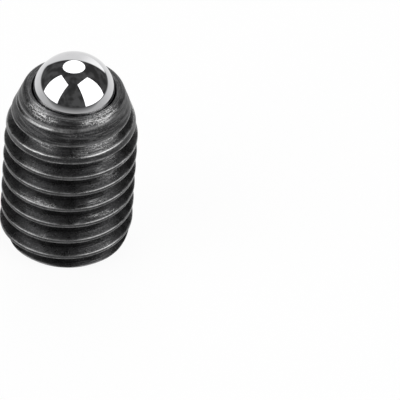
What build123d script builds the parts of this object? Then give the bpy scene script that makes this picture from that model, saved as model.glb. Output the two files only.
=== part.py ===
from build123d import *
from math import ceil, cos, radians, sin, sqrt, tan
import os

# Ball plunger: a grub screw with a hexagon socket in one end and, in the other, a ball that a
# spring holds up against a lip. It stands on its socket end, with its axis on Z and the ball on top.
# Millimetres and degrees. Angles are between a cone's side and the axis, unless a name says otherwise.

# Threaded body
THREAD_DIAMETER = 8.0
THREAD_PITCH = 1.25
THREAD_FLANK_ANGLE = 30.0  # of each flank, from the plane across the axis
THREAD_CREST_SHARE = 1 / 6  # flat on the crest, as a share of the pitch
THREAD_DEPTH_SHARE = 0.6134  # depth of a metric external thread, as a share of the pitch
THREAD_GROOVE_HEIGHT = 0.065  # of the groove's centre on the +Y side, in its first whole turn
BODY_LENGTH = 11.3  # socket end to lip
END_FACE_DIAMETER = 6.8  # flat ring that the body stands on
END_CHAMFER_ANGLE = 45.0
NOSE_ANGLE = 22.5
NOSE_ROUNDED_SHARE = 0.38  # of the nose's side, taken by the arc that runs into the thread's crests
NOSE_CORNERS = 3  # the arc is made of cones that meet in so many blunt corners
LIP_LAND = 0.48  # rim round the ball
LIP_ROUNDING = 0.33

# Hexagon socket
SOCKET_ACROSS_FLATS = 4.0
SOCKET_DEPTH = 2.8
COUNTERSINK_DIAMETER = 5.7
COUNTERSINK_ANGLE = 50.0
DRILL_POINT_ANGLE = 59.0
WEB_THICKNESS = 0.75  # between the drill point and the floor of the ball's bore

# Ball and its bore
BALL_DIAMETER = 5.0
BALL_PROTRUSION = 2.15
BORE_CLEARANCE = 0.05  # round the ball
LIP_CLEARANCE = 0.015  # between the ball and the lip that is swaged over it
LIP_BEND_HEIGHT = 0.4  # the bore starts to close in this far below the ball's centre

# Spring
WIRE_DIAMETER = 0.55
WIRE_SIDES = 10  # the round wire's section is a polygon, which keeps its many turns light
SPRING_CLEARANCE = 0.3  # round the spring in the bore
OPEN_COIL_PITCH = 1.13
CLOSED_COILS = 1  # at each end
CLOSED_COIL_GAP = 0.02
GROUND_SHARE = 0.75  # of the wire ground away at its tips
SPRING_SEAT_GAP = 0.01  # between the spring and the ball
POINTS_PER_COIL = 12

# Places that follow from the sizes
crest_radius = THREAD_DIAMETER / 2
thread_depth = THREAD_DEPTH_SHARE * THREAD_PITCH
root_radius = crest_radius - thread_depth
ball_radius = BALL_DIAMETER / 2
ball_height = BODY_LENGTH + BALL_PROTRUSION - ball_radius
bore_radius = ball_radius + BORE_CLEARANCE
seat_radius = ball_radius + LIP_CLEARANCE
lip_radius = sqrt(seat_radius**2 - (BODY_LENGTH - ball_height) ** 2)
drill_point_height = SOCKET_DEPTH + SOCKET_ACROSS_FLATS / 2 / tan(radians(DRILL_POINT_ANGLE))
bore_floor = drill_point_height + WEB_THICKNESS
wire_radius = WIRE_DIAMETER / 2
coil_radius = bore_radius - SPRING_CLEARANCE - wire_radius
spring_top = ball_height - sqrt(ball_radius**2 - (coil_radius - wire_radius) ** 2) - SPRING_SEAT_GAP


def turned(*outline):
    """A solid of revolution round Z, from the corners of its outline as radii and heights."""
    with BuildSketch(Plane.XZ) as half:
        with BuildLine():
            Polyline(*outline, close=True)
        make_face()
    return revolve(half.sketch, Axis.Z)


def blank():
    """The body before it is threaded and bored: chamfered end, cylinder, rounded nose."""
    end_radius = END_FACE_DIAMETER / 2
    chamfer_height = (crest_radius - end_radius) / tan(radians(END_CHAMFER_ANGLE))
    rim_radius = lip_radius + LIP_LAND
    shoulder_height = BODY_LENGTH - (crest_radius - rim_radius) / tan(radians(NOSE_ANGLE))
    rounded_side = NOSE_ROUNDED_SHARE * (crest_radius - rim_radius) / sin(radians(NOSE_ANGLE))
    step = NOSE_ANGLE / NOSE_CORNERS
    stride = rounded_side * tan(radians(step / 2)) / tan(radians(NOSE_ANGLE / 2))
    nose = [(crest_radius, shoulder_height - rounded_side + stride)]
    for number in range(1, NOSE_CORNERS):
        radius, height = nose[-1]
        lean = radians(number * step)
        nose.append((radius - 2 * stride * sin(lean), height + 2 * stride * cos(lean)))
    with BuildSketch(Plane.XZ) as half:
        with BuildLine():
            Polyline(
                (0, 0),
                (end_radius, 0),
                (crest_radius, chamfer_height),
                *nose,
                (rim_radius, BODY_LENGTH),
                (0, BODY_LENGTH),
                close=True,
            )
        make_face()
        rim = half.vertices().sort_by_distance((rim_radius, BODY_LENGTH))[0]
        fillet(rim, LIP_ROUNDING)
    return revolve(half.sketch, Axis.Z)


def groove_turn():
    """One turn of the thread's groove: a trapezoid carried round the axis on four helices."""
    overcut = thread_depth / 5  # the groove is cut from outside the crests
    widening = tan(radians(THREAD_FLANK_ANGLE))
    mouth_half = THREAD_PITCH * (1 - THREAD_CREST_SHARE) / 2 + overcut * widening
    root_half = mouth_half - (thread_depth + overcut) * widening
    corners = [
        (root_radius, -root_half),
        (root_radius, root_half),
        (crest_radius + overcut, mouth_half),
        (crest_radius + overcut, -mouth_half),
    ]
    lines = [
        Edge.make_helix(THREAD_PITCH, THREAD_PITCH, radius, center=(0, 0, height))
        for radius, height in corners
    ]
    sides = [Face.make_surface_from_curves(lines[i], lines[i - 1]) for i in range(4)]
    caps = [Face(Wire.make_polygon([line @ end for line in lines])) for end in (0, 1)]
    return Solid(Shell(sides + caps)).rotate(Axis.Z, 90)


def socket():
    """What is taken out of the socket end: countersink, hexagon and the drill's point."""
    flat_radius = SOCKET_ACROSS_FLATS / 2
    with BuildSketch() as hexagon:
        RegularPolygon(flat_radius, 6, major_radius=False)
    countersink_radius = COUNTERSINK_DIAMETER / 2
    countersink = turned(
        (0, 0),
        (countersink_radius, 0),
        (0, countersink_radius / tan(radians(COUNTERSINK_ANGLE))),
    )
    drill_point = turned((0, 0), (flat_radius, 0), (flat_radius, SOCKET_DEPTH), (0, drill_point_height))
    return extrude(hexagon.sketch, SOCKET_DEPTH) + countersink + drill_point


def ball_bore():
    """What is taken out of the nose: a flat-bottomed bore that closes in to a lip round the ball."""
    half_angle = radians(90) - (BODY_LENGTH - ball_height) / seat_radius / 2
    middle = (seat_radius * sin(half_angle), ball_height + seat_radius * cos(half_angle))
    with BuildSketch(Plane.XZ) as half:
        with BuildLine():
            Polyline(
                (0, BODY_LENGTH),
                (0, bore_floor),
                (bore_radius, bore_floor),
                (bore_radius, ball_height - LIP_BEND_HEIGHT),
                (seat_radius, ball_height),
            )
            ThreePointArc((seat_radius, ball_height), middle, (lip_radius, BODY_LENGTH))
            Line((lip_radius, BODY_LENGTH), (0, BODY_LENGTH))
        make_face()
    return revolve(half.sketch, Axis.Z)


def threaded_body():
    """The turned body: threaded from end to end, with the socket below and the ball's bore above."""
    body = blank()
    turn = groove_turn()
    last_turn = ceil((BODY_LENGTH - THREAD_GROOVE_HEIGHT) / THREAD_PITCH)
    for number in range(-1, last_turn + 1):
        body -= turn.moved(Pos(0, 0, THREAD_GROOVE_HEIGHT + number * THREAD_PITCH))
    return body - socket() - ball_bore()


def ball():
    return Pos(0, 0, ball_height) * Sphere(ball_radius)


def spring():
    """A compression spring with closed, ground ends, as long as the space under the ball."""
    sink = GROUND_SHARE * WIRE_DIAMETER - wire_radius
    closed_pitch = WIRE_DIAMETER + CLOSED_COIL_GAP
    open_height = spring_top - bore_floor + 2 * sink - 2 * CLOSED_COILS * closed_pitch
    open_coils = open_height / OPEN_COIL_PITCH
    coils = open_coils + 2 * CLOSED_COILS
    count = ceil(coils * POINTS_PER_COIL)
    points = []
    for number in range(count + 1):
        turn = coils * number / count
        opened = min(max(turn - CLOSED_COILS, 0), open_coils)
        height = bore_floor - sink + closed_pitch * (turn - opened) + OPEN_COIL_PITCH * opened
        points.append(Vector(coil_radius, 0, height).rotate(Axis.Z, 360 * turn))
    line = Spline(*points)
    section = Plane(origin=line @ 0, z_dir=line % 0) * RegularPolygon(wire_radius, WIRE_SIDES)
    wire = sweep(section, path=line, is_frenet=True)
    upright = (Align.CENTER, Align.CENTER, Align.MIN)
    between_seats = Cylinder(bore_radius, spring_top - bore_floor, align=upright)
    return wire & (Pos(0, 0, bore_floor) * between_seats)


os.makedirs("parts", exist_ok=True)
export_step(threaded_body(), "parts/threaded_body.step")
export_step(ball(), "parts/ball.step")
export_step(spring(), "parts/spring.step")
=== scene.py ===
"""Ball plunger: the dressed model over its CAD frame.

Three pieces are made here, each in place of its CAD node: the threaded body, the ball and the spring.
Every size is in metres, in the CAD's own frame: the plunger stands on its socket end at the origin,
its axis is Z and its front is -Y.
"""

import math

import bpy
import numpy as np
from mathutils import Matrix, Vector


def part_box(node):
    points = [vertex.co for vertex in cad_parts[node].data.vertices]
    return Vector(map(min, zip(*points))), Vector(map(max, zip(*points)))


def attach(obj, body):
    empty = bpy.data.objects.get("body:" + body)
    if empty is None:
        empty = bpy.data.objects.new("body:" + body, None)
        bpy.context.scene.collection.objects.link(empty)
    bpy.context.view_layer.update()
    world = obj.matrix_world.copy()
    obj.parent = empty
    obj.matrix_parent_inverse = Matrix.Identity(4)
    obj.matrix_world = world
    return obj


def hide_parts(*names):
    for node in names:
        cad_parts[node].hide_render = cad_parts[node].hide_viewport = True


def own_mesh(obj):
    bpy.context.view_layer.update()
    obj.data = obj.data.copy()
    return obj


bl_info = {
    "name": "Ball plunger",
    "version": (1, 0, 0),
    "blender": (4, 5, 0),
    "location": "3D View > Sidebar > Plunger",
    "description": "Threaded body, ball and spring of a ball plunger, with a plain studio",
    "category": "Add Mesh",
}

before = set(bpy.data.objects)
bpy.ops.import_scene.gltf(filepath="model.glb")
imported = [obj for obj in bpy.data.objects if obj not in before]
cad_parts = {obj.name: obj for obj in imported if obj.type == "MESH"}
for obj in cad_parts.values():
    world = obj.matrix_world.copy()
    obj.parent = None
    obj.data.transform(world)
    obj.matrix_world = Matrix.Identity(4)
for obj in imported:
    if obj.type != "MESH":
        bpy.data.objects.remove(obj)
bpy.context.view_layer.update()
BODY_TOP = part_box("threaded_body")[1].z
BALL_LOW, BALL_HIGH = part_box("ball")
SPRING_LOW, SPRING_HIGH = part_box("spring")
BALL_RADIUS = (BALL_HIGH.z - BALL_LOW.z) / 2
BALL_HEIGHT = (BALL_HIGH.z + BALL_LOW.z) / 2

MM = 0.001
FLANK_SLOPE = math.tan(math.radians(30))  # across the groove for each unit of its depth
DRILL_POINT_SLOPE = math.tan(math.radians(59))  # across for each unit of height
COUNTERSINK_SLOPE = math.tan(math.radians(50))


def length(name, description, default):
    """A property that holds a length in metres."""
    return bpy.props.FloatProperty(
        name=name, description=description, default=default, min=0, precision=5, unit="LENGTH"
    )


def angle(name, description, default):
    """A property that holds an angle, given in degrees."""
    return bpy.props.FloatProperty(
        name=name, description=description, default=math.radians(default), subtype="ANGLE"
    )


def brightness(name, description, default):
    """A property that holds how bright something is, where 1 is white."""
    return bpy.props.FloatProperty(name=name, description=description, default=default, min=0)


def colour(name, description, default):
    """A property that holds a colour."""
    return bpy.props.FloatVectorProperty(
        name=name, description=description, default=default, min=0, max=1, size=3, subtype="COLOR"
    )


class BodySizes(bpy.types.PropertyGroup):
    """Sizes and finish of the threaded body."""

    crest_radius: length("Crest radius", "Radius over the thread's crests", 4.0 * MM)
    pitch: length("Pitch", "Height of one turn of the thread", 1.25 * MM)
    depth: length("Depth", "From crest to root", 0.76675 * MM)
    crest_flat: length("Crest flat", "Width of the flat on the crest", 1.25 / 6 * MM)
    groove_height: length("Groove height", "Of the first whole groove at the back", 0.065 * MM)
    root_round: length("Root rounding", "Softening of the groove's floor", 0.16 * MM)
    crest_round: length("Crest rounding", "Softening of the crest's edges", 0.03 * MM)
    edge_wear: length("Edge wear", "Depth below an edge to which the black is worn off", 0.06 * MM)
    foot_wear: length("Foot wear", "Depth of the worn hollow beside the foot", 0.19 * MM)
    end_radius: length("End radius", "Outer radius of the flat ring at the socket end", 3.4 * MM)
    nose_angle: angle("Nose angle", "Between the nose's side and the axis", 20.2)
    nose_rounded: bpy.props.FloatProperty(
        name="Nose rounding",
        description="Share of the nose's side that the arc into the crests takes",
        default=0.33,
        min=0,
        max=1,
    )
    lip_land: length("Lip land", "Width of the rim round the ball", 0.48 * MM)
    lip_rounding: length("Lip rounding", "Radius of the rim's outer edge", 0.33 * MM)
    lip_fall: length("Lip fall", "How far the rim falls away from the ball", 0.02 * MM)
    lip_gap: length("Lip gap", "Between the lip and the ball", 0.04 * MM)
    bore_gap: length("Bore gap", "Between the bore and the ball", 0.05 * MM)
    hexagon: length("Hexagon", "Socket across flats", 4.0 * MM)
    socket_depth: length("Socket depth", "From the end to the hexagon's floor", 2.8 * MM)
    countersink_radius: length("Countersink radius", "Of the cone in front of the hexagon", 2.85 * MM)
    columns: bpy.props.IntProperty(
        name="Columns", description="Columns of the mesh round the axis", default=288, min=48, step=12
    )
    oxide: colour("Oxide", "Blackened steel", (0.09, 0.09, 0.092))
    bare: colour("Bare", "Steel where the black is worn off", (0.55, 0.55, 0.55))


class BallSizes(bpy.types.PropertyGroup):
    """Size and finish of the ball."""

    radius: length("Radius", "Of the ball", BALL_RADIUS)
    height: length("Height", "Of the ball's centre at rest", BALL_HEIGHT)
    steel: colour("Steel", "Polished steel", (0.62, 0.62, 0.63))


class SpringSizes(bpy.types.PropertyGroup):
    """Size and finish of the spring."""

    wire: length("Wire", "Diameter of the wire", 0.55 * MM)
    coil_radius: length("Coil radius", "To the middle of the wire", 1.975 * MM)
    turns: bpy.props.FloatProperty(name="Turns", description="Of the wire", default=5.09, min=2)
    steel: colour("Steel", "Drawn spring steel", (0.35, 0.35, 0.36))


class StageSizes(bpy.types.PropertyGroup):
    """Studio: the floor, the lamps and the camera."""

    floor_width: length("Floor", "Side of the square floor", 6.0)
    lamp_distance: length("Lamp distance", "From the plunger to each lamp", 0.5)
    lamp_level: brightness("Lamp level", "Brightness of each lamp's face", 2.2)
    # The room level also sets the painted dark that the floor glows with in metal, beyond its painted
    # pool of light
    room_level: brightness("Room level", "Brightness of the dark room round the lamps", 0.07)
    # Painted brightness: how bright the floor's front glows in metal, a painted reflection
    painted_ground_level: brightness("Ground level", "Brightness of the floor's front as metal mirrors it", 0.6)
    view_height: angle("View height", "Of the camera over the floor", 41)
    view_roll: angle("View roll", "Of the camera", 4.25)
    view_distance: length("View distance", "From the camera to the plunger", 0.6)
    view_width: length("View width", "That the camera takes in at the plunger", 24.17 * MM)
    view_right: length("View right", "From the plunger's foot to the middle of the view", 8.151 * MM)
    view_up: length("View up", "From the plunger's foot to the middle of the view", 1.837 * MM)


# ---------------------------------------------------------------- meshes


def smooth_least(a, b, width):
    """The lesser of a and b, with a parabola across the corner where they differ by less than width."""
    near = np.maximum(width - np.abs(a - b), 0) / width
    return np.minimum(a, b) - near * near * width / 4


def smooth_most(a, b, width):
    """The greater of a and b, eased in the same way."""
    return -smooth_least(-a, -b, width)


def whole_triangles(triangles):
    """The triangles whose three corners are three different vertices."""
    a, b, c = triangles.T
    return triangles[(a != b) & (b != c) & (c != a)]


def strip(lower, upper):
    """Triangles between two rings of vertex numbers, each closed on itself."""
    a, b = lower, np.roll(lower, -1)
    d, c = upper, np.roll(upper, -1)
    return np.concatenate([np.stack([a, b, c], 1), np.stack([a, c, d], 1)])


def strips(path):
    """Triangles from ring to ring along a path. A ring that repeats one vertex closes the skin there."""
    return whole_triangles(np.concatenate([strip(*pair) for pair in zip(path, path[1:])]))


def capped(grid, first, last):
    """Points and triangles of a closed skin: the grid's rows are its rings, between two end points."""
    numbers = np.arange(grid.shape[0] * grid.shape[1]).reshape(grid.shape[0], -1)
    columns = grid.shape[1]
    path = [np.full(columns, numbers.size), *numbers, np.full(columns, numbers.size + 1)]
    return np.concatenate([grid.reshape(-1, 3), [first, last]]), strips(path)


def round_angles(columns):
    """The angles of so many columns, evenly round the axis."""
    return 2 * math.pi * np.arange(columns) / columns


def rings(radii, heights, angles):
    """Points of rings round Z: row by row, radius and height may change with the angle."""
    radii = np.broadcast_to(radii, (len(heights), len(angles)))
    heights = np.broadcast_to(heights, radii.shape)
    return np.stack([radii * np.cos(angles), radii * np.sin(angles), heights], -1)


def bell(off, width):
    """1 where off is nothing, falling evenly to about a third at the width."""
    return np.exp(-((off / width) ** 2))


def turned_by(angles, degrees):
    """How far each angle lies from an angle in degrees, the short way round."""
    return (angles - math.radians(degrees) + math.pi) % (2 * math.pi) - math.pi


def piece(name, points, triangles, material, sharp_angle=math.radians(32), **marks):
    """An object at the origin from points and triangles, with one number per point for each mark."""
    used, numbers = np.unique(triangles, return_inverse=True)
    mesh = bpy.data.meshes.new(name)
    mesh.from_pydata(points[used].tolist(), [], numbers.reshape(-1, 3).tolist())
    for label, values in marks.items():
        layer = mesh.attributes.new(label, "FLOAT", "POINT")
        layer.data.foreach_set("value", values[used].astype(np.float32))
    mesh.polygons.foreach_set("use_smooth", np.ones(len(mesh.polygons), bool))
    mesh.set_sharp_from_angle(angle=sharp_angle)
    mesh.materials.append(material)
    made = bpy.data.objects.new(name, mesh)
    bpy.context.scene.collection.objects.link(made)
    return made


# ---------------------------------------------------------------- threaded body

# Where the black is rubbed through. Each patch has its angle in degrees, its height in millimetres, its
# width in degrees, its own height in millimetres, and its strength.
RUBBED = [
    # rim and nose
    (220, 11.15, 13, 0.26, 0.9), (236, 11.12, 12, 0.26, 0.9), (250, 11.05, 8, 0.16, 0.7),
    (236, 10.85, 15, 0.1, 0.3), (286, 11.1, 8, 0.12, 0.9), (298, 11.14, 10, 0.2, 1.0),
    (312, 11.2, 12, 0.22, 1.0), (306, 10.92, 13, 0.08, 0.9), (326, 11.22, 9, 0.16, 0.7),
    (262, 10.55, 14, 0.05, 0.6), (284, 10.4, 16, 0.05, 0.6),
    # first crest under the nose
    (228, 9.35, 12, 0.12, 0.9), (246, 9.2, 10, 0.1, 0.6), (284, 9.2, 9, 0.12, 0.7),
    (300, 9.35, 13, 0.2, 0.75), (318, 9.55, 9, 0.16, 0.8),
    # crests at the front, on the right and then on the left
    (313, 8.22, 9, 0.13, 1.4), (324, 7.75, 8, 0.1, 0.7), (301, 7.88, 3, 0.07, 1.0),
    (313, 6.9, 10, 0.15, 0.9), (298, 5.38, 9, 0.08, 1.0), (313, 5.75, 6, 0.1, 0.7),
    (300, 4.2, 10, 0.05, 1.0), (314, 4.15, 9, 0.05, 1.0),
    (230, 5.04, 9, 0.1, 0.8), (246, 5.16, 10, 0.09, 0.9), (258, 5.15, 4, 0.07, 1.0),
    (238, 7.6, 12, 0.06, 0.6),
    # foot
    (314, 1.5, 9, 0.18, 0.7), (326, 1.2, 8, 0.18, 0.7),
    # back
    (60, 9.4, 20, 0.2, 0.7), (120, 6.6, 14, 0.15, 0.7), (80, 3.0, 16, 0.12, 0.8),
    (150, 10.9, 25, 0.15, 0.7), (30, 11.1, 18, 0.12, 0.7), (10, 5.2, 12, 0.12, 0.7),
]
# The worn hollows beside the foot: angle in degrees, width in radians, share of the full depth.
FOOT_HOLLOWS = [(-8, 0.38, 1.0), (192, 0.3, 0.3)]
FOOT_HOLLOW_HEIGHT = 0.35 * MM
FOOT_HOLLOW_TALL = 0.4 * MM
CHAMFER_ROUND = 0.08 * MM
SPARE_TURNS = 5  # of the rows, beyond those that the body's height holds
TURNS_BELOW = 3  # of them that start below the foot
NICKS = 70  # dents along the crests
NICK_DEPTH = 0.1 * MM  # how far down the groove's side from an edge they reach
NOSE_FOOT = 8.7 * MM  # where the nose's own finish starts
NOSE_FADE = 0.6 * MM  # over which it comes in
NOSE_EDGE = 0.06 * MM  # depth of a groove's edge over which it goes out
FIRST_CREST = 9.3 * MM  # height of the crest under the nose, whose edges are the most worn
RIM_FOOT = 11 * MM  # the rings above this are the rim, those below it the bore and the socket
HEXAGON_CORNER = 1.14  # radius of the hexagon's blunt corners over that of its flats
# Rounding of the lip's inner edge: how far out from the lip, and how far below the top, in millimetres.
LIP_EDGE = [(0.07, 0), (0.045, 0.008), (0.03, 0.022)]
LIP_FACE = 0.06 * MM  # below the top, where the rounding goes over into the curve round the ball
LIP_BEND = 0.4 * MM  # below the ball's middle, where the bore starts to close in


def thread_rows(size):
    """Places from one groove's floor, at its middle, to the next one's, close together at the corners."""
    half = size.pitch / 2
    mouth = half - size.crest_flat / 2
    floor = mouth - size.depth * FLANK_SLOPE
    across = np.array([
        0, 0.6 * floor, 1.2 * floor, 2.0 * floor,
        mouth * 0.42, mouth * 0.56, mouth * 0.7, mouth * 0.83, mouth * 0.92,
        mouth - 0.02 * MM, mouth, mouth + 0.016 * MM, mouth + 0.04 * MM, half - 0.03 * MM,
    ])
    return np.concatenate([across, [half], size.pitch - across[:0:-1]])


def flank_radius(across, size):
    """Radius of the groove's side at a distance across from its floor's middle, as if it had no end."""
    half = np.abs((across + size.pitch / 2) % size.pitch - size.pitch / 2)
    mouth = (size.pitch - size.crest_flat) / 2
    root = size.crest_radius - size.depth
    side = size.crest_radius + (half - mouth) / FLANK_SLOPE
    return smooth_most(side, np.full_like(side, root), size.root_round)


def blank_radius(height, size):
    """Radius before threading: a 45 degree chamfer, the cylinder, an arc and the nose's cone.

    The arc takes a share of the cone's side and as much of the cylinder, so its radius is that length
    over the tangent of half the nose's angle.
    """
    slope = math.tan(size.nose_angle)
    rim = lip_radius(size) + size.lip_land
    chamfer = size.end_radius + height
    cone = rim + (BODY_TOP - height) * slope
    turn = size.nose_rounded * (size.crest_radius - rim) / math.sin(size.nose_angle)
    bend = turn / math.tan(size.nose_angle / 2)
    corner = BODY_TOP - (size.crest_radius - rim) / slope
    rise = np.clip(height - (corner - turn), 0, bend)
    arc = size.crest_radius - bend + np.sqrt(bend**2 - rise**2)
    past = height > corner + turn * math.cos(size.nose_angle)
    return smooth_least(chamfer, np.where(past, cone, arc), CHAMFER_ROUND)


def lip_radius(size):
    """Radius of the lip's inner edge, from the ball's own place and the gap to it."""
    seat = BALL_RADIUS + size.lip_gap
    return math.sqrt(seat**2 - (BODY_TOP - BALL_HEIGHT) ** 2)


def rim_reach(size):
    """From the corner where the nose's side and the rim would meet to either end of the arc there."""
    return size.lip_rounding * math.tan(math.pi / 4 - size.nose_angle / 2)


def skin_top(size):
    """Height where the nose's cone ends and the rounding of the rim begins."""
    return BODY_TOP - size.lip_fall - rim_reach(size) * math.cos(size.nose_angle)


def mouth_reach(middle, side, size):
    """From a groove's middle to its edge, above it where side is 1 and below it where side is -1.

    It is half the mouth's width, less what the flank's slope takes away where the blank is slimmer
    than the crests. The blank is read at the edge itself, which is found closely enough in three goes.
    """
    widest = (size.pitch - size.crest_flat) / 2
    reach = np.full_like(middle, widest)
    for _ in range(3):
        slim = size.crest_radius - blank_radius(np.clip(middle + side * reach, 0, BODY_TOP), size)
        reach = widest - np.clip(slim, 0, size.depth) * FLANK_SLOPE
    return reach


def rubbed_places(angles, heights):
    """How much each point is rubbed: the sum of soft patches, each a bell in the angle and the height."""
    rubbed = np.zeros(np.broadcast(angles, heights).shape)
    for degrees, height, wide, tall, strength in RUBBED:
        around = bell(turned_by(angles, degrees), math.radians(wide))
        rubbed += strength * around * bell(heights - height * MM, tall * MM)
    return np.minimum(rubbed, 1)


def nicks(angles, across, size):
    """Small dents along the crests: each is a bell in the angle and in the height."""
    rng = np.random.default_rng(11)
    turns = rng.uniform(0, 2 * math.pi, NICKS)
    places = rng.uniform(0, BODY_TOP, NICKS)
    widths = rng.uniform(0.02, 0.08, NICKS)
    talls = rng.uniform(0.03, 0.08, NICKS) * MM
    depths = rng.uniform(0.01, 0.045, NICKS) * MM
    dent = np.zeros(across.shape)
    for turn, place, wide, tall, deep in zip(turns, places, widths, talls, depths):
        edge = size.pitch * (0.5 + rng.choice([-1, 1]) / 12)
        lead = size.pitch * turn / (2 * math.pi)
        place = np.round((place - lead) / size.pitch) * size.pitch + edge + lead
        off_turn = turned_by(angles, math.degrees(turn))
        dent += deep * bell(off_turn, wide) * bell(across - (place - lead), tall)
    return dent


def foot_hollow(angles, heights, size):
    """Depth of the worn hollows beside the foot: each is a bell in the angle and in the height."""
    hollow = sum(share * bell(turned_by(angles, degrees), wide) for degrees, wide, share in FOOT_HOLLOWS)
    return size.foot_wear * hollow * bell(heights - FOOT_HOLLOW_HEIGHT, FOOT_HOLLOW_TALL)


def skin_marks(proud, offset, angles, heights, size):
    """The three marks of the threaded outside that its finish is worked out from.

    Proud is how far the groove's side, had it no end, would stand outside the blank: nothing along an
    edge, and more across the crest. The mark "edge" is a bell of it, wider along the crest's lower
    edge, and stronger on rubbed places and at the crest under the nose. "Rubbed" is the sum of the
    patches. "Nose" is 1 on the nose's own side, and 0 in the grooves and lower down.
    """
    rubbed = rubbed_places(angles, heights)
    edge = bell(proud, size.edge_wear * np.where(offset > 0, 1.6, 0.85))
    edge = edge * (1 + 1.2 * rubbed + 0.8 * bell(heights - FIRST_CREST, 1.0 * MM))
    nose = np.clip(proud / NOSE_EDGE, 0, 1) * np.clip((heights - NOSE_FOOT) / NOSE_FADE, 0, 1)
    return {"edge": edge.ravel(), "rubbed": rubbed.ravel(), "nose": nose.ravel()}


def climbing_rows(rows, phase, lead, size):
    """Each row's place in its groove, and its height in every column, as if the body had no ends.

    The place is the distance from the groove's middle, which climbs by the lead. Where the blank is
    slim the groove's mouth is narrow: there the rows in the mouth are drawn in as much as it is, and
    the rows on the crest are spread over the rest.
    """
    turns = int(math.ceil(BODY_TOP / size.pitch)) + SPARE_TURNS
    above = rows > size.pitch / 2
    offset = np.tile(rows - size.pitch * above, turns)
    middle = ((np.arange(turns)[:, None] - TURNS_BELOW + above) * size.pitch + phase).ravel() + lead
    reach = mouth_reach(middle, np.sign(offset), size)
    half, widest = size.pitch / 2, (size.pitch - size.crest_flat) / 2
    inside = np.abs(offset) * reach / widest
    outside = half - (half - np.abs(offset)) * (half - reach) / (half - widest)
    return offset, middle + np.sign(offset) * np.where(np.abs(offset) <= widest, inside, outside)


def body_skin(size, angles):
    """The threaded outside. Its rows climb with the thread, and end at the socket end and at the lip.

    A point's height is its row's height plus the pitch times its share of a turn, held between the
    two ends. Its radius is the lesser of the blank's radius and the groove's side at that height.
    Past a whole turn a row runs into the row one pitch higher, so the last column joins the first.
    Given back are the points, their marks, the triangles, and the first and last ring's numbers.
    """
    rows = thread_rows(size)[:-1]
    phase = size.groove_height - size.pitch / 4
    lead = size.pitch * angles[:, None] / (2 * math.pi)
    offset, free = climbing_rows(rows, phase, lead, size)
    top = skin_top(size)
    low = (free <= 0).sum(1) - 1
    high = (free < top).sum(1)
    z = np.clip(free, 0, top)
    across = z - lead
    side = flank_radius(across - phase, size)
    blank = blank_radius(z, size) - foot_hollow(angles[:, None], z, size)
    radius = smooth_least(side, blank, size.crest_round)
    radius = radius - nicks(angles[:, None], across, size) * (side > blank - NICK_DEPTH)
    points = np.stack([radius * np.cos(angles)[:, None], radius * np.sin(angles)[:, None], z], -1)
    marks = skin_marks(side - blank, offset, angles[:, None], z, size)
    per_column = len(offset)
    columns = np.arange(size.columns)

    def number(column, row):
        """Vertex of a column's row, kept between that column's ends."""
        return column * per_column + np.clip(row, low[column], high[column])

    row = np.arange(per_column - 1)[None, :]
    this = columns[:, None]
    following = (this + 1) % size.columns
    shift = np.where(this + 1 == size.columns, len(rows), 0)
    a, d = number(this, row), number(this, row + 1)
    b, c = number(following, row + shift), number(following, row + 1 + shift)
    triangles = np.concatenate([np.stack([a, b, c], -1), np.stack([a, c, d], -1)]).reshape(-1, 3)
    foot, brow = number(columns, low), number(columns, high)
    return points.reshape(-1, 3), marks, whole_triangles(triangles), foot, brow


def socket_rings(size, angles):
    """Rings from the drill's point, over the hexagon's floor and wall, to the countersink's rim.

    The hexagon's radius is half its width over the cosine of the angle from the nearest flat. The
    countersink's cone ends where it meets that radius, so its edge rises at the corners. Two rings
    lie close together at each edge, which keeps it crisp.
    """
    flat, rim, depth = size.hexagon / 2, size.countersink_radius, size.socket_depth
    off_flat = (angles % (math.pi / 3)) - math.pi / 6
    hexagon = np.minimum(flat / np.cos(off_flat), flat * HEXAGON_CORNER)
    tip = depth + flat / DRILL_POINT_SLOPE
    meet = (rim - hexagon) / COUNTERSINK_SLOPE
    profile = [(flat * share, tip - (tip - depth) * share) for share in np.linspace(0.02, 0.985, 14)]
    profile += [(hexagon * 0.995 - 0.01 * MM, depth), (hexagon, depth - 0.02 * MM)]
    profile += [(hexagon, depth + (meet - depth) * share) for share in np.linspace(0, 1, 9)[1:-1]]
    profile += [(hexagon, meet + 0.02 * MM), (hexagon + 0.015 * MM, meet - 0.02 * MM)]
    profile += [
        (hexagon + (rim - hexagon) * share, meet * (1 - share)) for share in np.linspace(0, 1, 6)[1:-1]
    ]
    profile += [(rim - 0.02 * MM, 0.022 * MM), (rim, 0.008 * MM), (rim + 0.02 * MM, 0)]
    radii, heights = (
        np.array([np.broadcast_to(value, angles.shape) for value in values]) for values in zip(*profile)
    )
    return rings(radii, heights, angles), tip


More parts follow.
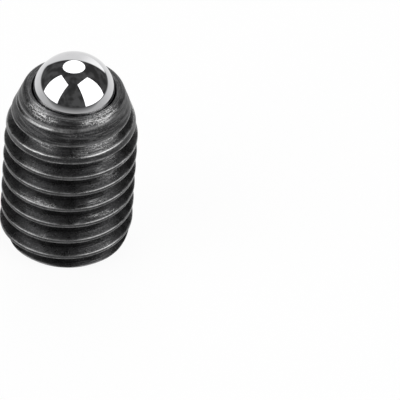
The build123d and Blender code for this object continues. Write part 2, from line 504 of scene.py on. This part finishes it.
def bore_rings(size, angles):
    """Rings from the rim's rounding, over the lip, down its curve round the ball and the bore's wall.

    The rim is an arc from the nose's side to a cone that falls away from the lip. The lip's curve
    keeps its gap to the ball down to the ball's middle, and the bore's wall goes on to its floor.
    """
    seat = BALL_RADIUS + size.lip_gap
    bore = BALL_RADIUS + size.bore_gap
    floor = SPRING_LOW.z
    crown = BODY_TOP - size.lip_fall
    edge = BODY_TOP - LIP_FACE
    lip = lip_radius(size)
    up = np.linspace(math.asin((edge - BALL_HEIGHT) / seat), 0, 8)[1:]
    middle = lip + size.lip_land + size.lip_fall * math.tan(size.nose_angle) - rim_reach(size)
    lean = math.atan(size.lip_fall / (middle - lip))
    bend = np.linspace(size.nose_angle, math.pi / 2 - lean, 8)[1:]
    arc = middle + size.lip_rounding * np.cos(bend), crown - size.lip_rounding * (1 - np.sin(bend))
    profile = list(zip(*arc))
    profile += [(lip + out * MM, BODY_TOP - under * MM) for out, under in LIP_EDGE]
    profile += [(seat * math.cos(up[0] + 0.02) + 0.012 * MM, edge)]
    profile += list(zip(seat * np.cos(up), BALL_HEIGHT + seat * np.sin(up)))
    profile += [(bore, BALL_HEIGHT - LIP_BEND)]
    profile += [(bore, height) for height in np.linspace(BALL_HEIGHT - 1.2 * MM, floor + 0.15 * MM, 7)]
    profile += [(bore - 0.02 * MM, floor + 0.04 * MM), (bore - 0.12 * MM, floor)]
    profile += [(radius, floor) for radius in bore * np.linspace(0.85, 0.05, 8)]
    radii, heights = np.array(profile).T
    return rings(radii[:, None], heights[:, None], angles), floor


def body_mesh(size):
    """Points, triangles and marks of the whole body, which is one closed skin.

    It runs from the drill's point out over the socket end, up the thread, over the lip and down the
    bore to the middle of its floor.
    """
    angles = round_angles(size.columns)
    skin, marks, faces, foot, brow = body_skin(size, angles)
    below, tip = socket_rings(size, angles)
    above, floor = bore_rings(size, angles)
    others = np.concatenate([below.reshape(-1, 3), above.reshape(-1, 3), [[0, 0, tip], [0, 0, floor]]])
    numbers = len(skin) + np.arange(len(others) - 2).reshape(-1, size.columns)
    lower, upper = numbers[:len(below)], numbers[len(below):]
    tip_ring, floor_ring = (np.full(size.columns, len(skin) + numbers.size + end) for end in (0, 1))
    faces = np.concatenate([faces, strips([tip_ring, *lower, foot]), strips([brow, *upper, floor_ring])])
    around, heights = np.arctan2(others[:, 1], others[:, 0]), others[:, 2]
    rest = {
        "edge": np.zeros_like(heights),
        "rubbed": rubbed_places(around, heights),
        "nose": heights > RIM_FOOT,
    }
    marks = {name: np.concatenate([values, rest[name]]) for name, values in marks.items()}
    return np.concatenate([skin, others]), faces, marks


# ---------------------------------------------------------------- ball and spring


def ball_mesh(radius, height, bands=96, columns=192):
    """A sphere from rings of latitude with a point at each pole."""
    latitude = np.linspace(-math.pi / 2, math.pi / 2, bands + 1)[1:-1, None]
    skin = rings(radius * np.cos(latitude), height + radius * np.sin(latitude), round_angles(columns))
    return capped(skin, (0, 0, height - radius), (0, 0, height + radius))


def spring_mesh(size, low, high, per_turn=48, around=20):
    """A round wire along a helix that is close at both ends and open between them, ground flat there.

    The wire's middle climbs by a little more than its own thickness in the first and last turn and
    evenly between them, and starts a quarter of the wire below its seat. Heights are held between the
    two seats.
    """
    radius = size.wire / 2
    sink = 0.25 * size.wire
    closed = size.wire + 0.02 * MM
    turn = np.linspace(0, size.turns, int(size.turns * per_turn) + 1)
    climb = high - low + 2 * sink - 2 * closed
    opened = np.clip(turn - 1, 0, size.turns - 2)
    middle = low - sink + closed * (turn - opened) + climb * opened / (size.turns - 2)
    bearing = 2 * math.pi * turn
    outward = np.stack([np.cos(bearing), np.sin(bearing), np.zeros_like(bearing)], -1)
    centre = outward * size.coil_radius
    centre[:, 2] = middle
    along = np.gradient(centre, axis=0)
    along /= np.linalg.norm(along, axis=1)[:, None]
    upward = np.cross(outward, along)
    round_wire = round_angles(around)[None, :, None]
    points = centre[:, None] + radius * (
        np.cos(round_wire) * outward[:, None] - np.sin(round_wire) * upward[:, None]
    )
    points[..., 2] = np.clip(points[..., 2], low, high)
    return capped(points, *points[[0, -1]].mean(1))


# ---------------------------------------------------------------- materials


def add(tree, kind, inputs=(), **settings):
    """A new node. Inputs pair a socket's name or number with a value or with another node's socket."""
    made = tree.nodes.new(kind)
    for name, value in settings.items():
        setattr(made, name, value)
    for name, value in dict(inputs).items():
        if isinstance(value, bpy.types.NodeSocket):
            tree.links.new(value, made.inputs[name])
        else:
            made.inputs[name].default_value = value
    return made


def maths(tree, operation, *values):
    """A Math node's result. Where there are more than two values, a further node takes in each."""
    result = add(tree, "ShaderNodeMath", dict(enumerate(values[:2])), operation=operation).outputs[0]
    for value in values[2:]:
        result = add(tree, "ShaderNodeMath", {0: result, 1: value}, operation=operation).outputs[0]
    return result


def total(tree, *values):
    """The sum of the values."""
    return maths(tree, "ADD", *values)


def product(tree, *values):
    """The values multiplied together."""
    return maths(tree, "MULTIPLY", *values)


def greatest(tree, *values):
    """The greatest of the values."""
    return maths(tree, "MAXIMUM", *values)


def ramp(tree, value, low, high, to_low=0.0, to_high=1.0):
    """Value carried smoothly from the range low to high into the range to_low to to_high."""
    made = add(
        tree, "ShaderNodeMapRange",
        {"Value": value, "From Min": low, "From Max": high, "To Min": to_low, "To Max": to_high},
        interpolation_type="SMOOTHSTEP",
    )
    return made.outputs["Result"]


def mixed(tree, factor, one, two, **settings):
    """One colour carried into another by the factor."""
    made = add(tree, "ShaderNodeMix", {0: factor}, data_type="RGBA", **settings)
    for socket, value in ((made.inputs[6], one), (made.inputs[7], two)):
        if isinstance(value, bpy.types.NodeSocket):
            tree.links.new(value, socket)
        else:
            socket.default_value = (*value, 1)
    return made.outputs[2]


def tinted(tint, share):
    """A colour made darker or lighter: each of its parts times the share."""
    return tuple(part * share for part in tint)


def grey(level):
    """A grey as bright as the level."""
    return (level, level, level)


def scaled(tree, vector, scale):
    """A vector times a number."""
    return add(tree, "ShaderNodeVectorMath", {0: vector, "Scale": scale}, operation="SCALE").outputs[0]


def noise(tree, vector, scale, detail=2.0, roughness=0.5, distortion=0.0):
    """Noise with a number of lumps per unit of the vector."""
    inputs = {"Vector": vector, "Scale": scale, "Detail": detail, "Roughness": roughness}
    return add(tree, "ShaderNodeTexNoise", {**inputs, "Distortion": distortion}).outputs[0]


def mark(tree, name):
    """A mark that the mesh carries at each of its points."""
    return add(tree, "ShaderNodeAttribute", attribute_name=name).outputs["Fac"]


def blank_material(name):
    """A material with an empty tree, its shader joined to its output, and places in millimetres."""
    material = bpy.data.materials.new(name)
    material.use_nodes = True
    tree = material.node_tree
    tree.nodes.clear()
    shader = add(tree, "ShaderNodeBsdfPrincipled", {"Metallic": 1.0})
    add(tree, "ShaderNodeOutputMaterial", {"Surface": shader.outputs[0]})
    place = add(tree, "ShaderNodeTexCoord").outputs["Object"]
    return material, tree, shader, scaled(tree, place, 1 / MM)


def roughened(tree, shader, height, strength, depth):
    """Gives a shader relief: as deep as depth, and as strong as strength."""
    bump = add(tree, "ShaderNodeBump", {"Height": height, "Strength": strength, "Distance": depth})
    tree.links.new(bump.outputs[0], shader.inputs["Normal"])


def blackened_steel(size):
    """Turned, blackened steel: rings left by the tool, a mottled black, bare metal along worn edges.

    The turning marks are noise on the distance from the axis, drawn out round it. What is bare is the
    greatest of four: worn edges, rubbed patches broken up into streaks in a haze, fine scores on the
    nose, and specks. The nose is banded by its turning marks, and duller than the thread.
    """
    material, tree, shader, place = blank_material("black_oxide_steel")
    x, y, _ = add(tree, "ShaderNodeSeparateXYZ", {0: place}).outputs
    radius = maths(tree, "SQRT", total(tree, product(tree, x, x), product(tree, y, y)))
    lathe = add(
        tree, "ShaderNodeCombineXYZ",
        {0: product(tree, radius, 14.0), 1: product(tree, x, 0.35), 2: product(tree, y, 0.35)},
    ).outputs[0]
    marks = noise(tree, lathe, 1.0, 3.0, 0.6)
    fine = noise(tree, scaled(tree, lathe, 2.4), 1.0, 2.0, 0.6, 0.3)
    mottle = noise(tree, place, 1.7, 4.0, 0.6)
    grain = noise(tree, place, 11.0, 3.0, 0.65)
    edge, rubbed, nose = (mark(tree, name) for name in ("edge", "rubbed", "nose"))

    worn = product(
        tree, edge, ramp(tree, mottle, 0.35, 0.65, 0.32, 0.66), ramp(tree, grain, 0.3, 0.6, 0.5, 1.0)
    )
    streak = greatest(tree, fine, maths(tree, "SUBTRACT", grain, 0.01))
    streak = ramp(tree, total(tree, streak, product(tree, rubbed, 0.06)), 0.585, 0.625)
    haze = product(tree, rubbed, ramp(tree, mottle, 0.3, 0.6, 0.02, 0.14))
    scraped = total(tree, product(tree, rubbed, streak, 0.9), haze)
    scored = product(tree, nose, ramp(tree, fine, 0.55, 0.62), 0.13)
    specks = ramp(tree, grain, 0.6, 0.68, 0.0, 0.14)
    bare = maths(tree, "MINIMUM", greatest(tree, worn, scraped, scored, specks), 1.0)

    black = mixed(tree, ramp(tree, grain, 0.35, 0.7), tinted(size.oxide, 0.55), tinted(size.oxide, 1.1))
    streaked = mixed(tree, ramp(tree, marks, 0.5, 0.75), black, tinted(size.oxide, 1.4))
    banded = mixed(tree, ramp(tree, marks, 0.4, 0.6), grey(0.5), grey(0.95))
    shaded = mixed(tree, nose, streaked, banded, blend_type="MULTIPLY")
    tree.links.new(mixed(tree, bare, shaded, size.bare), shader.inputs["Base Color"])
    rough = total(tree, ramp(tree, mottle, 0.3, 0.7, 0.24, 0.36), product(tree, nose, 0.16))
    tree.links.new(rough, shader.inputs["Roughness"])
    height = total(tree, product(tree, marks, 0.7), product(tree, grain, 0.3))
    height = maths(tree, "SUBTRACT", height, product(tree, scraped, 0.5))
    roughened(tree, shader, height, 0.5, 0.03 * MM)
    return material


def polished_steel(size):
    """Polished ball steel, with the faintest haze."""
    material, tree, shader, place = blank_material("polished_steel")
    haze = noise(tree, place, 1.2, 3.0, 0.55)
    shade = mixed(tree, ramp(tree, haze, 0.4, 0.7), size.steel, tinted(size.steel, 0.94))
    tree.links.new(shade, shader.inputs["Base Color"])
    tree.links.new(ramp(tree, haze, 0.35, 0.7, 0.02, 0.05), shader.inputs["Roughness"])
    return material


def drawn_wire(size):
    """Drawn spring wire, darker in patches where it was oiled."""
    material, tree, shader, place = blank_material("spring_steel")
    patch = noise(tree, place, 1.5, 3.0, 0.6)
    shade = mixed(tree, ramp(tree, patch, 0.4, 0.7), size.steel, tinted(size.steel, 0.7))
    tree.links.new(shade, shader.inputs["Base Color"])
    tree.links.new(ramp(tree, patch, 0.3, 0.7, 0.24, 0.36), shader.inputs["Roughness"])
    roughened(tree, shader, noise(tree, place, 18.0), 0.2, 0.01 * MM)
    return material


# ---------------------------------------------------------------- stage

# The lamps: the way to each from the plunger, the ways its width and height run, its width and height
# as shares of its distance, and its outline.
LAMPS = {
    "softbox_left": (
        (-0.755, -0.351, 0.554), (0.42, -0.77, -0.02), (0.37, 0.10, 1.32), (0.88, 1.37), "RECTANGLE",
    ),
    "softbox_right": (
        (0.673, -0.317, 0.668), (0.61, 0.74, 0.09), (-0.28, 0.04, 1.39), (0.96, 1.42), "RECTANGLE",
    ),
    "lamp_above": ((-0.07, 0.47, 0.88), (1, 0, 0), (0, 0.88, -0.47), (0.87, 0.84), "ELLIPSE"),
}
# This height shapes the floor's painted pool of light in metal
MIRROR_HEIGHT = 11 * MM  # of the metal that mirrors the floor, about at the lip


def lamp(name, stage, toward, across, upward, shares, shape):
    """An area lamp that faces the plunger, with its sides along across and upward.

    Its power is its level times pi times its area, which makes its face as bright as its level.
    """
    light = bpy.data.lights.new(name, "AREA")
    light.shape = shape
    width, tall = (share * stage.lamp_distance for share in shares)
    light.size, light.size_y = width, tall
    area = width * tall * (math.pi / 4 if shape == "ELLIPSE" else 1)
    light.energy = stage.lamp_level * math.pi * area
    x = Vector(across).normalized()
    y = (Vector(upward) - Vector(upward).project(x)).normalized()
    z = x.cross(y)
    place = Matrix.Translation(Vector(toward) * stage.lamp_distance)
    made = bpy.data.objects.new(name, light)
    made.matrix_world = place @ Matrix((x, y, z)).transposed().to_4x4()
    bpy.context.scene.collection.objects.link(made)


def floor_material(stage):
    """A pale floor that still takes a shadow and is all but white to the camera.

    Metal mirrors a painted pool of light near the plunger and a painted dark room beyond it: to glossy
    rays the floor glows. The slope from the plunger down to a place is the mirror height over its
    distance. The glow is full where that is steep, and falls to dark by a slope of 0.02, slowly at the
    front and quickly at the sides. Straight behind the plunger all of it glows. The painted glow grows
    paler from front to back.
    """
    material = bpy.data.materials.new("floor")
    material.use_nodes = True
    tree = material.node_tree
    tree.nodes.clear()
    rays = add(tree, "ShaderNodeLightPath").outputs
    mirrored = greatest(tree, rays["Is Glossy Ray"], rays["Is Transmission Ray"])
    place = add(tree, "ShaderNodeTexCoord").outputs["Object"]
    away = add(tree, "ShaderNodeVectorMath", {0: place}, operation="LENGTH").outputs["Value"]
    behind = maths(tree, "DIVIDE", add(tree, "ShaderNodeSeparateXYZ", {0: place}).outputs["Y"], away)
    slope = maths(tree, "DIVIDE", MIRROR_HEIGHT, away)
    soft = ramp(tree, behind, -0.9, -0.2, 0.28, 0.07)
    steep = maths(tree, "DIVIDE", maths(tree, "SUBTRACT", slope, 0.02), soft)
    near = maths(tree, "MINIMUM", steep, 1.0)
    # Share of the floor that glows as a painted pool of light in metal: full near the plunger and
    # straight behind it
    painted_light_share = greatest(tree, near, 0.0, ramp(tree, behind, 0.72, 0.84))
    # Painted light in the glow: paler from the front to the back
    pale = ramp(tree, behind, -0.7, 0.95, stage.painted_ground_level, 1.0)
    # Painted dark room beyond the painted pool of light
    dark = product(tree, maths(tree, "SUBTRACT", 1.0, painted_light_share), stage.room_level)
    level = total(tree, product(tree, painted_light_share, pale), dark)
    paper = add(tree, "ShaderNodeBsdfDiffuse", {"Color": (*grey(0.9), 1)})
    white = add(tree, "ShaderNodeEmission", {"Color": (*grey(1), 1), "Strength": 1.0})
    # Painted glow that glossy rays see in the floor: a painted reflection of a floor under the lamps
    ground = add(tree, "ShaderNodeEmission", {"Color": (*grey(1), 1), "Strength": level})
    seen = product(tree, rays["Is Camera Ray"], 0.93)
    both = add(tree, "ShaderNodeMixShader", {0: seen, 1: paper.outputs[0], 2: white.outputs[0]})
    both = add(tree, "ShaderNodeMixShader", {0: mirrored, 1: both.outputs[0], 2: ground.outputs[0]})
    add(tree, "ShaderNodeOutputMaterial", {"Surface": both.outputs[0]})
    return material


def studio_world(stage):
    """White to the camera. In metal, a dark clouded room with a pale arch of cloth low at the back.

    The arch is half an ellipse: the way across over 0.62 and the way up over 0.6, each squared, add up
    to less than one. The cloth grows brighter to the right.
    """
    world = bpy.data.worlds.new("studio")
    world.use_nodes = True
    tree = world.node_tree
    tree.nodes.clear()
    way = add(tree, "ShaderNodeTexCoord").outputs["Generated"]
    x, y, z = add(tree, "ShaderNodeSeparateXYZ", {0: way}).outputs
    wide = maths(tree, "DIVIDE", maths(tree, "SUBTRACT", x, 0.03), 0.62)
    tall = maths(tree, "DIVIDE", z, 0.6)
    arch = total(tree, product(tree, wide, wide), product(tree, tall, tall))
    pale = product(tree, ramp(tree, y, 0.0, 0.15), ramp(tree, arch, 1.1, 0.9))
    cloud = ramp(tree, noise(tree, way, 3.0), 0.35, 0.65)
    room = mixed(tree, cloud, grey(0.6 * stage.room_level), grey(1.5 * stage.room_level))
    bright = ramp(tree, x, 0.0, 0.6, 1.0, 1.5)
    cloth = add(tree, "ShaderNodeCombineXYZ", {0: bright, 1: bright, 2: bright}).outputs[0]
    camera = add(tree, "ShaderNodeLightPath").outputs["Is Camera Ray"]
    shade = mixed(tree, camera, mixed(tree, pale, room, cloth), grey(1))
    background = add(tree, "ShaderNodeBackground", {"Color": shade, "Strength": 1.0})
    add(tree, "ShaderNodeOutputWorld", {"Surface": background.outputs[0]})
    bpy.context.scene.world = world


def aim_camera(stage):
    """A long lens, rolled a little, looks down at the plunger's front and keeps it at the left."""
    height, roll = stage.view_height, stage.view_roll
    level_right = Vector((1, 0, 0))
    level_up = Vector((0, math.sin(height), math.cos(height)))
    back = Vector((0, -math.cos(height), math.sin(height)))
    right = level_right * math.cos(roll) + level_up * math.sin(roll)
    up = level_up * math.cos(roll) - level_right * math.sin(roll)
    target = right * stage.view_right + up * stage.view_up
    lens = bpy.data.cameras.new("camera")
    lens.sensor_width = 36
    lens.lens = lens.sensor_width * stage.view_distance / stage.view_width
    lens.clip_start, lens.clip_end = 0.01, 20
    camera = bpy.data.objects.new("camera", lens)
    place = Matrix.Translation(target + back * stage.view_distance)
    camera.matrix_world = place @ Matrix((right, up, back)).transposed().to_4x4()
    bpy.context.scene.collection.objects.link(camera)
    bpy.context.scene.camera = camera


# ---------------------------------------------------------------- operators


class PLUNGER_OT_body(bpy.types.Operator):
    """Makes the threaded body over its CAD node"""

    bl_idname = "plunger.body"
    bl_label = "Threaded body"

    def execute(self, context):
        size = context.scene.plunger_body
        points, triangles, marks = body_mesh(size)
        body = piece("turned_body", points, triangles, blackened_steel(size), **marks)
        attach(body, "housing")
        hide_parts("threaded_body")
        return {"FINISHED"}


class PLUNGER_OT_ball(bpy.types.Operator):
    """Makes the ball over its CAD node"""

    bl_idname = "plunger.ball"
    bl_label = "Ball"

    def execute(self, context):
        size = context.scene.plunger_ball
        points, triangles = ball_mesh(size.radius, size.height)
        ball = piece("polished_ball", points, triangles, polished_steel(size))
        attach(ball, "ball")
        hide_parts("ball")
        return {"FINISHED"}


class PLUNGER_OT_spring(bpy.types.Operator):
    """Makes the spring over its CAD node, with a mesh of its own"""

    bl_idname = "plunger.spring"
    bl_label = "Spring"

    def execute(self, context):
        size = context.scene.plunger_spring
        low, high = SPRING_LOW.z, SPRING_HIGH.z
        points, triangles = spring_mesh(size, low, high)
        spring = piece("wound_spring", points, triangles, drawn_wire(size))
        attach(spring, "housing")
        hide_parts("spring")
        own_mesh(spring)
        return {"FINISHED"}


class PLUNGER_OT_stage(bpy.types.Operator):
    """Makes the floor, the lamps, the surroundings and the camera"""

    bl_idname = "plunger.stage"
    bl_label = "Stage"

    def execute(self, context):
        stage = context.scene.plunger_stage
        half = stage.floor_width / 2
        mesh = bpy.data.meshes.new("floor")
        corners = [(-half, -half, 0), (half, -half, 0), (half, half, 0), (-half, half, 0)]
        mesh.from_pydata(corners, [], [(0, 1, 2, 3)])
        mesh.materials.append(floor_material(stage))
        floor = bpy.data.objects.new("floor", mesh)
        context.scene.collection.objects.link(floor)
        for name, facts in LAMPS.items():
            lamp(name, stage, *facts)
        studio_world(stage)
        aim_camera(stage)
        return {"FINISHED"}


class PLUNGER_PT_panel(bpy.types.Panel):
    """Lists the plunger's pieces and their sizes"""

    bl_label = "Ball plunger"
    bl_idname = "PLUNGER_PT_panel"
    bl_space_type = "VIEW_3D"
    bl_region_type = "UI"
    bl_category = "Plunger"

    def draw(self, context):
        for operator, sizes in PIECES:
            box = self.layout.box()
            box.operator(operator.bl_idname)
            group = getattr(context.scene, sizes)
            for name in group.bl_rna.properties.keys():
                if name not in {"rna_type", "name"}:
                    box.prop(group, name)


PIECES = [
    (PLUNGER_OT_body, "plunger_body"),
    (PLUNGER_OT_ball, "plunger_ball"),
    (PLUNGER_OT_spring, "plunger_spring"),
    (PLUNGER_OT_stage, "plunger_stage"),
]
SIZE_GROUPS = {
    "plunger_body": BodySizes,
    "plunger_ball": BallSizes,
    "plunger_spring": SpringSizes,
    "plunger_stage": StageSizes,
}
CLASSES = [*SIZE_GROUPS.values(), *(operator for operator, _ in PIECES), PLUNGER_PT_panel]


def register():
    for cls in CLASSES:
        bpy.utils.register_class(cls)
    for name, group in SIZE_GROUPS.items():
        setattr(bpy.types.Scene, name, bpy.props.PointerProperty(type=group))


def unregister():
    for name in SIZE_GROUPS:
        delattr(bpy.types.Scene, name)
    for cls in reversed(CLASSES):
        bpy.utils.unregister_class(cls)


def main():
    """Makes every piece and the stage."""
    register()
    bpy.ops.plunger.body()
    bpy.ops.plunger.ball()
    bpy.ops.plunger.spring()
    bpy.ops.plunger.stage()
    bpy.context.scene.view_settings.view_transform = "Standard"


if __name__ == "__main__":
    main()
